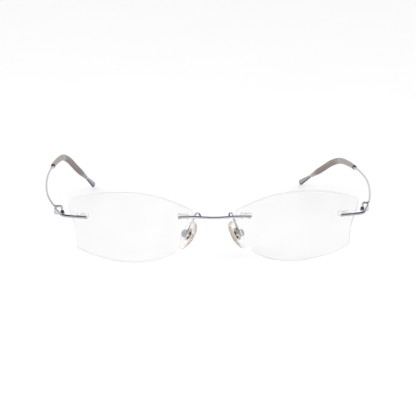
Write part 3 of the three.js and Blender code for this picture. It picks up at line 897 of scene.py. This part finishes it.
def bridge(material):
    """One bowed wire, on both lenses."""
    height = BRIDGE_WIRE + CLEARANCE
    place = on_mount(NASAL_MOUNT)
    rim = point_on(place, -BRIDGE["rim"], -BRIDGE["rim_drop"], height)
    end = point_on(place, NASAL_MOUNT["spacing"] / 2 + BRIDGE["past_peg"], 0, height)
    shoulder = rim + (BRIDGE_FRONT - rim) * BRIDGE["shoulder"] - (0, BRIDGE["shoulder_bow"], 0)
    right = [BRIDGE_FRONT, shoulder, rim, end]
    left = [p * (-1, 1, 1) for p in right[:0:-1]]
    piece = mesh_from_rings("bridge_bar", wire_rings(left + right, BRIDGE_WIRE, rounding=0.3))
    for side in (1, -1):
        fuse(piece, side, pegs(NASAL_MOUNT))
    stand_in(piece, None, "bridge", "titanium", material)


def leaf_line(pin):
    """The plan of the leaf, from its front to the hinge, at the height of the pin."""
    ahead = np.array((math.sin(LEAF_SPLAY), math.cos(LEAF_SPLAY), 0))
    back = np.array((BAR_END, pin[1] + LEAF_BEHIND_PIN, pin[2]))
    return back - ahead * LEAF_LENGTH, back


def endpiece_body(hand):
    """One forged bar: the round arm on the lens, its bend, and the flattened leaf."""
    place = on_mount(TEMPORAL_MOUNT)
    height = ARM_WIRE + CLEARANCE
    end = point_on(place, -TEMPORAL_MOUNT["spacing"] / 2 - ARM["past_peg"], 0, height)
    rim = point_on(place, ARM["rim"], 0, height)
    front, back = leaf_line(hand["pin"])
    leaf_front = front - (0, 0, LEAF_DROP)
    bend = round_corner(rim, rim + ARM_CORNER, leaf_front, ARM["bend"])
    arm = resample(curve_through([end, rim, *bend, leaf_front]), 0.3)[1:-2]
    shares, tops, bottoms = (np.array(column) for column in zip(*LEAF_EDGES))
    steps = np.linspace(LEAF_START, 1, 30)
    middles = np.interp(steps, shares, (tops + bottoms) / 2)
    halves = np.interp(steps, shares, (tops - bottoms) / 2)
    leaf = [front + (back - front) * s + (0, 0, z) for s, z in zip(steps, middles)]
    flatness = np.minimum(1, steps / LEAF_FLAT)
    widths = ARM_WIRE + (LEAF_THICKNESS / 2 - ARM_WIRE) * flatness
    arm_sizes = np.full((len(arm), 2), ARM_WIRE)
    sizes = np.concatenate([arm_sizes, np.column_stack([widths, halves])])
    powers = np.concatenate([np.full(len(arm), ROUND), ROUND + (FLAT - ROUND) * flatness])
    line = np.concatenate([arm, leaf])
    rings = sweep_rings(line, sizes, power=powers, rounding=0.14, sides=32)
    return named(hand, "endpiece", "arm", rings)


def ear_outline(pin):
    """A round nose about the pin, and two corners inside the leaf."""
    outside = BAR_END - pin[0] - EAR["inset"]
    turn = np.linspace(math.pi / 2, 1.5 * math.pi, 24)
    nose = EAR["radius"] * np.column_stack([np.cos(turn), np.sin(turn)])
    return np.concatenate([nose, [(outside, EAR["front"]), (outside, EAR["back"])]])


def endpiece(hand, material):
    """The forged bar, with an ear under the hinge, a stop for the temple, and its pegs."""
    pin, side = hand["pin"], hand["side"]
    piece = endpiece_body(hand)
    ear = plate_rings(ear_outline(pin), EAR["bottom"], EAR["top"], at(pin), EDGE_ROUNDING)
    back = leaf_line(pin)[1]
    stop = block_rings(STOP["low"], STOP["high"], at(back, rotation("Z", -LEAF_SPLAY)))
    fuse(piece, side, [ear, stop, *pegs(TEMPORAL_MOUNT)])
    carve(piece, side, [bore(BUSHING["shank"] + CLEARANCE, -4.5, -2, at(pin))])
    forged(piece, voxel=0.055, passes=4)
    stand_in(piece, hand, "endpiece", "titanium", material)


def bushing(hand, material):
    bore, shank, flange = BUSHING["bore"], BUSHING["shank"], BUSHING["flange"]
    bottom, seat, top = BUSHING["bottom"], BUSHING["seat"], BUSHING["top"]
    profile = [
        (bore, bottom), (shank, bottom), (shank, seat), (flange - 0.06, seat),
        (flange, seat + 0.06), (flange, top - 0.12), (flange - 0.12, top), (bore, top),
    ]
    place = at(hand["pin"])
    turned_ring(hand, "hinge_bushing", "black", profile, place, material, "black_nylon")


def hinge_cap(hand, material):
    radius, bottom, top = CAP["radius"], CAP["bottom"], CAP["top"]
    bore = BUSHING["bore"] - 0.04
    profile = [
        (bore, bottom), (radius - 0.25, bottom), (radius - 0.1, bottom + 0.06),
        (radius, bottom + 0.2), (radius, top - 0.06), (radius - 0.06, top), (bore, top),
    ]
    place = at(hand["pin"])
    turned_ring(hand, "hinge_cap", "round", profile, place, material, "polished_steel")


# ---- temples


def temple_point(hand, place):
    """A point of the temple's line, with what differs from side to side."""
    out, back, up = place
    share = (back - hand["pin"][1]) / (TEMPLE_END[1] - hand["pin"][1])
    spread = hand["bow"] * math.sin(math.pi * min(1, 4 * share))
    draw = hand["waist"] * math.sin(math.pi * share) ** 4
    rise = hand["lift"] * math.sin(math.pi * share**1.6)
    return np.array((out + spread - draw, back, up + rise)) + hand["tip"] * share**6


def paddle_ends(hand):
    """The paddle's root and tip. A longer paddle grows mostly at its root."""
    root, end = temple_point(hand, TEMPLE_LINE[-1]), temple_point(hand, TEMPLE_END)
    growth = (end - root) * hand["longer"]
    return root - growth * 0.7, end + growth * 0.3


def temple_points(hand):
    """The wire's line from the pintle's foot to the paddle's root."""
    pin = hand["pin"]
    line = [temple_point(hand, place) for place in TEMPLE_LINE[:-1]]
    line.append(paddle_ends(hand)[0])
    foot = pin - (0, 0, PINTLE)
    bar_end = np.array((BAR_END, pin[1], pin[2]))
    return [
        foot,
        pin - (0, 0, BEND + 0.4),
        *round_corner(foot, pin, bar_end, BEND),
        *round_corner(pin, bar_end, line[0], BEND),
        *line,
    ]


def paddle_sizes(beyond, length):
    """How flat the wire is, and its half width and half height, at distances beyond the
    paddle's root."""
    flat = np.clip(beyond / PADDLE["flattening"], 0, 1)
    straight = length - PADDLE["round"]
    widening = np.clip(beyond / straight, 0, 1)
    tall = PADDLE["root"] + (PADDLE["tip"] - PADDLE["root"]) * widening
    into_end = np.clip((beyond - straight) / PADDLE["round"], 0, 0.98)
    rounding = np.sqrt(1 - into_end**3)
    half_height = (TEMPLE_WIRE + (tall - TEMPLE_WIRE) * flat) * rounding
    half_width = TEMPLE_WIRE + (PADDLE["thickness"] / 2 - TEMPLE_WIRE) * flat
    half_width = np.minimum(half_width, 0.16 + half_width * rounding)
    return flat, half_width, half_height


def temple_wire(hand, material):
    """One wire: the hinge's pintle and top bar, the long temple, and a flattened end."""
    root, end = paddle_ends(hand)
    rod = curve_through(temple_points(hand))
    line = resample(np.concatenate([rod, np.linspace(root, end, 40)[1:]]), 0.25, trim=0.1)
    run = distances(line)
    length = np.linalg.norm(end - root)
    flat, half_width, half_height = paddle_sizes(run - (run[-1] - length), length)
    along = unit(end - root)
    sideways = unit(np.cross(along, (0, 0, 1)))
    rings = sweep_rings(
        line,
        np.column_stack([half_width, half_height]),
        up=np.cross(sideways, along),
        power=ROUND + (FLAT - ROUND) * flat,
        rounding=0.08,
    )
    # The pressed field is the flattening, raised on the lower side of the flat end, where the
    # material paints its shade.
    lower = smoothstep(-section(rings.shape[1], FLAT)[:, 1], 0.2, 0.85)
    end_rows = (len(rings) - len(line)) // 2
    pressed = np.outer(np.pad(flat, end_rows, mode="edge"), 0.5 + 0.5 * lower)
    piece = named(hand, "temple_wire", "drawn", rings, fields={"pressed": pressed})
    stand_in(piece, hand, "temple_wire", "titanium", material)


def sleeve_half_height(run, groove):
    """It swells round the ear bend, keeps its size and closes in at its end. Its ends are rounded,
    and a fine line is pressed in behind the band at its mouth, which is painted dark as painted
    shade."""
    along = run / run[-1]
    swell = SLEEVE["swell"] * np.sin(math.pi / 2 * np.minimum(1, along / 0.6)) ** 1.2
    height = (SLEEVE["mouth"] + swell) * (1 - SLEEVE["taper"] * smoothstep(along, 0.87, 1))
    height -= RIB_DEPTH * groove
    from_end = np.clip(np.minimum(run, run[-1] - run) / 0.2, 0, 1)
    height -= 0.16 * (1 - np.sqrt(np.clip(1 - (1 - from_end) ** 2, 0, 1)))
    past_band = run - MOUTH_BAND["length"]
    on_line = (past_band > 0) & (past_band < MOUTH_BAND["line"])
    return np.where(on_line, height - MOUTH_BAND["depth"], height)


def sleeve_start(hand, points):
    """Where the sleeve's mouth lies on the wire, from 0 at the pintle's foot to 1."""
    return 1 - (SLEEVE_INTERVALS + hand["sleeve"]) / (len(points) - 1)


def sleeve_ribs(run):
    """How far the sleeve is ribbed along its run, and how deep its grooves are, 0 to 1."""
    along = run / run[-1]
    ribbed = smoothstep(along, 0.36, 0.5) * (1 - smoothstep(along, 0.88, 0.95))
    wave = 0.5 - 0.5 * np.cos(2 * math.pi * run / RIB_PITCH)
    return ribbed, ribbed * smoothstep(wave, 0.15, 0.85)


def tip_sleeve(hand, rubber, mouth):
    """A soft tube, ribbed across its lower half, with a band round its mouth painted dark as
    painted shade.
    """
    points = temple_points(hand)
    line = resample(curve_through(points, start=sleeve_start(hand, points), steps=60), 0.12)
    run = distances(line)
    _, across, upward = frames_along(line, (0, 0, 1))
    sides = 48
    angle = np.arange(sides) * 2 * math.pi / sides
    ribbed, groove = sleeve_ribs(run)
    height = sleeve_half_height(run, groove)

    def row(i, wide, tall):
        sideways = np.outer(wide * np.cos(angle), across[i])
        return line[i] + sideways + np.outer(tall * np.sin(angle), upward[i])

    outside = [row(i, height[i] * SLEEVE["width"], height[i]) for i in range(len(line))]
    back_again = [*range(len(line) - 1, 0, -6), 0]
    inside = [row(i, SLEEVE_BORE, SLEEVE_BORE) for i in back_again]
    # Painted shade: the band at the mouth and the whole bore take the second, near-black material.
    marks = [int(r < MOUTH_BAND["length"]) for r in run] + [1] * len(inside)
    # Painted shade for the rubber: dark in the grooves, and a little darker on the underside of the
    # ribbed part.
    painted_shade = np.zeros((len(marks), sides))
    underside_shade = 0.5 - 0.5 * np.sin(angle)
    painted_shade[: len(line)] = 0.95 * groove[:, None] + 0.05 * np.outer(ribbed, underside_shade)
    rings, fields = np.array(outside + inside), {"groove": painted_shade}
    options = {"loop": True, "row_materials": marks, "fields": fields}
    piece = named(hand, "tip_sleeve", "ribbed", rings, **options)
    stand_in(piece, hand, "tip_sleeve", "sleeve_rubber", rubber, mouth)


def tip_ferrule(hand, material):
    """A collar with a small groove round it, just ahead of the sleeve's mouth."""
    points = temple_points(hand)
    start = sleeve_start(hand, points)
    near = curve_through(points, start=start - 0.001, end=start + 0.001, steps=2000)
    mouth, ahead = near[len(near) // 2], unit(near[-1] - near[0])
    turn = np.array(Vector((0, 0, 1)).rotation_difference(Vector(ahead)).to_matrix().to_4x4())
    bore = TEMPLE_WIRE + 0.03
    profile = [
        (bore, -1.05), (0.66, -1.05), (0.72, -1.0), (0.83, -0.85), (0.86, -0.78), (0.86, -0.5),
        (0.8, -0.46), (0.8, -0.4), (0.86, -0.36), (0.86, -0.06), (bore, -0.06),
    ]
    place = at(mouth, turn)
    turned_ring(hand, "tip_ferrule", "collar", profile, place, material, "polished_steel")


# ---- nose pads


def egg():
    """The pad's outline, wider above its middle, counter-clockwise."""
    w, h = PAD["width"], PAD["length"]
    right = bezier((0, -h), (w * 0.62, -h), (w, -h * 0.45), (w, h * 0.12))
    right += bezier((w, h * 0.12), (w, h * 0.55), (w * 0.8, h), (0, h))
    left = [(-x, y) for x, y in [(0, h), *right[:0:-1]]]
    return np.array(right + left)


def nose_pad(hand, material):
    """A crowned cushion with full round edges, and a pocket for its insert."""
    outline = egg()
    centre = np.array((0, PAD["length"] * 0.08))
    middle = (PAD["skin"] + PAD["back"]) / 2
    half = (PAD["back"] - PAD["skin"]) / 2
    # Painted tint: tan at the pad's front rim, away from its foot, stands for light that runs the
    # length of the clear pad.
    forward = np.clip(0.3 - outline[:, 0] / PAD["width"] * 0.6, 0, 1)
    above_foot = 0.4 + 0.6 * smoothstep(outline[:, 1] / PAD["length"], -1, -0.3)
    rings, painted_rim_tint = [], []
    for turn in np.linspace(0.04, math.pi - 0.04, 34):
        reach = math.sin(turn) ** 0.62
        depth = math.copysign(abs(math.cos(turn)) ** 0.8, -math.cos(turn))
        flat = centre + (outline - centre) * reach
        rings.append(np.column_stack([flat, np.full(len(flat), middle + half * depth)]))
        painted_rim_tint.append(smoothstep(reach, 0.6, 0.92) * forward * above_foot)
    place = pad_place() @ at((0, PAD["set_back"], -PAD["drop"])) @ PAD_PLATE
    rings = moved_by(place, np.array(rings))
    piece = named(hand, "nose_pad", "cushion", rings, fields={"rim": painted_rim_tint})
    hole = oval(INSERT["width"] + CLEARANCE, INSERT["length"] + CLEARANCE)
    bottom = PAD["back"] - INSERT["depth"] - CLEARANCE
    pocket = plate_rings(hole, bottom, 2, pad_place() @ PAD_PLATE)
    carve(piece, hand["side"], [pocket])
    piece.visible_shadow = False
    stand_in(piece, hand, "nose_pad", "pad_silicone", material)


def screw_place():
    """The screw's axis: z runs forward along it, from the middle of the lug."""
    return pad_place() @ at((SCREW_OUT, 0, 0), rotation("X", math.pi / 2))


def pad_insert(hand, tan, black):
    """An oval plate with a drilled lug, and a deep slot beside the lug, painted black as painted
    shade.
    """
    side, face = hand["side"], PAD["back"]
    outline = oval(INSERT["width"], INSERT["length"])
    plate = plate_rings(outline, face - INSERT["depth"], face, pad_place() @ PAD_PLATE, 0.16)
    piece = named(hand, "pad_insert", "oval", plate)
    wide, tall = LUG["half_width"], LUG["half_height"]
    low, high = (face - LUG["root"], -wide, -tall), (SCREW_OUT, wide, tall)
    lug = block_rings(low, high, pad_place(), rounding=0.1)
    profile = [(tall - 0.06, -wide), (tall, 0.06 - wide), (tall, wide - 0.06), (tall - 0.06, wide)]
    eye = turned(profile, screw_place())
    fuse(piece, side, [lug, eye])
    carve(piece, side, [bore(SCREW["bore"], -2, 2, screw_place())])
    paint(piece, tan, black)
    # Painted shade: the slot's faces take the black second material.
    slot = stadium(INSERT_SLOT["half"], INSERT_SLOT["radius"])
    place = pad_place() @ at(INSERT_SLOT["place"]) @ PAD_PLATE @ rotation("Z", math.pi / 2)
    carve_painted_shade(piece, side, plate_rings(slot, face - INSERT_SLOT["depth"], face + 1, place))
    stand_in(piece, hand, "pad_insert", "tan_nylon")


def pad_box(hand, material):
    """A round flange, with two cheeks that hold the screw."""
    side, height = hand["side"], BOX["height"]
    outline = oval(FLANGE, FLANGE)
    place = pad_place() @ PAD_PLATE
    flange = plate_rings(outline, BOX["wall"], BOX["back"], place, EDGE_ROUNDING)
    piece = named(hand, "pad_box", "flange", flange)
    cheeks = []
    for near, far in ((-BOX["outside"], -BOX["inside"]), (BOX["inside"], BOX["outside"])):
        low, high = (BOX["mouth"], near, -height), (BOX["wall"] + 0.2, far, height)
        cheeks.append(block_rings(low, high, pad_place()))
    fuse(piece, side, cheeks)
    carve(piece, side, [bore(SCREW["bore"], -3, 3, screw_place())])
    forged(piece, voxel=0.05, passes=3)
    stand_in(piece, hand, "pad_box", "titanium", material)


def pad_screw(hand, material, dark):
    """A cheese-head screw with a slot, its point rounded."""
    shank, head, top = SCREW["shank"], SCREW["head"], SCREW["head_top"]
    seat = BOX["outside"] + CLEARANCE
    profile = [
        (shank - 0.15, -SCREW["end"]), (shank, -SCREW["end"] + 0.12), (shank, seat),
        (head - 0.05, seat), (head, seat + 0.06), (head, top - 0.22), (head - 0.08, top - 0.1),
        (head - 0.25, top),
    ]
    piece = named(hand, "pad_screw", "slotted", turned(profile, screw_place()))
    paint(piece, material, dark)
    # Painted shade: the slot's faces take the dark second material.
    wide = SCREW_SLOT["half_width"]
    low, high = (-wide, -1, top - SCREW_SLOT["depth"]), (wide, 1, top + 0.5)
    carve_painted_shade(piece, hand["side"], block_rings(low, high, screw_place(), rounding=0.01))
    stand_in(piece, hand, "pad_screw", "polished_steel")


def pad_arm(hand, material):
    """A wire that loops over the bridge and ends on the top of the pad box."""
    end = point_on(pad_place(), 2.2, -0.2, BOX["height"] + PAD_WIRE + 0.35)
    rings = wire_rings([*PAD_ARM_LINE, end], PAD_WIRE, rounding=0.15, spacing=0.2)
    piece = named(hand, "pad_arm", "wire", rings)
    stand_in(piece, hand, "pad_arm", "titanium", material)


# ---- studio


def floor(material):
    mesh = bpy.data.meshes.new("floor")
    signs = ((-1, -1), (1, -1), (1, 1), (-1, 1))
    corners = [(x * FLOOR_HALF, y * FLOOR_HALF, 0) for x, y in signs]
    mesh.from_pydata(corners, [], [(0, 1, 2, 3)])
    mesh.materials.append(material)
    piece = bpy.data.objects.new("floor", mesh)
    piece.location.z = -FLOOR_DROP
    bpy.context.scene.collection.objects.link(piece)


def area_light(name, place, size, power):
    """A square soft box aimed at the glasses, which is left out of reflections."""
    data = bpy.data.lights.new(name, "AREA")
    data.shape = "RECTANGLE"
    data.size, data.size_y = size, size
    data.energy = power
    light = bpy.data.objects.new(name, data)
    light.location = place
    direction = Vector((0, 0, 0)) - Vector(place)
    light.rotation_euler = direction.to_track_quat("-Z", "Y").to_euler()
    light.visible_glossy = False
    bpy.context.scene.collection.objects.link(light)


def studio_world():
    """White below and dark above, so that the metal shows its shape."""
    world = bpy.data.worlds.new("studio")
    world.use_nodes = True
    tree = world.node_tree
    coordinates = tree.nodes.new("ShaderNodeTexCoord")
    split = tree.nodes.new("ShaderNodeSeparateXYZ")
    ramp = tree.nodes.new("ShaderNodeValToRGB")
    greys = ((0.0, 1.0), (0.3, 0.98), (0.44, 0.5), (0.56, 0.03), (1.0, 0.02))
    set_ramp(ramp.color_ramp, [(place, (grey, grey, grey * 1.02)) for place, grey in greys])
    background = tree.nodes["Background"]
    tree.links.new(coordinates.outputs["Generated"], split.inputs[0])
    tree.links.new(split.outputs["Z"], ramp.inputs["Fac"])
    tree.links.new(ramp.outputs["Color"], background.inputs["Color"])
    background.inputs["Strength"].default_value = 1.0
    bpy.context.scene.world = world


def camera():
    down, turn, roll = (math.radians(CAMERA[name]) for name in ("down", "turn", "roll"))
    across = np.array((math.cos(turn), -math.sin(turn), 0))
    tipped = math.sin(down)
    upward = np.array((math.sin(turn) * tipped, math.cos(turn) * tipped, math.cos(down)))
    right = math.cos(roll) * across - math.sin(roll) * upward
    up = math.sin(roll) * across + math.cos(roll) * upward
    facing = np.pad(np.column_stack([right, up, np.cross(right, up)]), ((0, 1), (0, 1)))
    data = bpy.data.cameras.new("camera")
    data.sensor_width = CAMERA["sensor"]
    data.lens = CAMERA["focal_length"]
    data.clip_start, data.clip_end = 0.01, 20
    view = bpy.data.objects.new("camera", data)
    view.matrix_world = Matrix(at(to_scene(CAMERA_PLACE), facing).tolist())
    bpy.context.scene.collection.objects.link(view)
    bpy.context.scene.camera = view


# ---- assembly

camera()
studio_world()
floor(floor_card())
area_light("ceiling", place=(0, 0, 2.6), size=10, power=350)
area_light("key", place=(-0.9, -0.9, 1.0), size=0.5, power=3)

arm_metal = titanium("arm_titanium", (0.38, 0.38, 0.42), (0.48, 0.48, 0.53), rough=0.12)
bridge_metal = titanium("bridge_titanium", (0.65, 0.64, 0.69), (0.75, 0.74, 0.79), rough=0.62)
temple_metal = titanium(
    "temple_titanium", (0.62, 0.63, 0.64), (0.74, 0.75, 0.76), rough=0.26, flattened=True
)
# Painted tint: the teal cast of the pad metal stands for the tint the coated lens gives to what is
# seen through it.
lens_tinted_pad_metal = titanium(
    "pad_titanium", (0.27, 0.33, 0.34), (0.62, 0.67, 0.68), rough=0.22, patches=1.1
)
steel = polished_steel()
glass, ground_edge = lens_glass(), lens_edge()
clear = clear_plastic()
soft_silicone = silicone()
# black is the bushings' nylon, and also the painted shade in the slots of the inserts and screws.
tan, black = tan_nylon(), black_nylon()
rubber, mouth_shade_paint = sleeve_rubber(), painted_mouth_shade()

bridge(bridge_metal)
for hand in (LEFT, RIGHT):
    lens(hand, glass, ground_edge)
    plug(hand, "temporal", TEMPORAL_MOUNT, clear)
    plug(hand, "nasal", NASAL_MOUNT, clear)
    endpiece(hand, arm_metal)
    bushing(hand, black)
    hinge_cap(hand, steel)
    temple_wire(hand, temple_metal)
    tip_sleeve(hand, rubber, mouth_shade_paint)
    tip_ferrule(hand, steel)
    pad_arm(hand, lens_tinted_pad_metal)
    pad_box(hand, lens_tinted_pad_metal)
    pad_screw(hand, steel, black)
    pad_insert(hand, tan, black)
    nose_pad(hand, soft_silicone)

bpy.context.scene.view_settings.view_transform = "Standard"
bpy.context.view_layer.update()
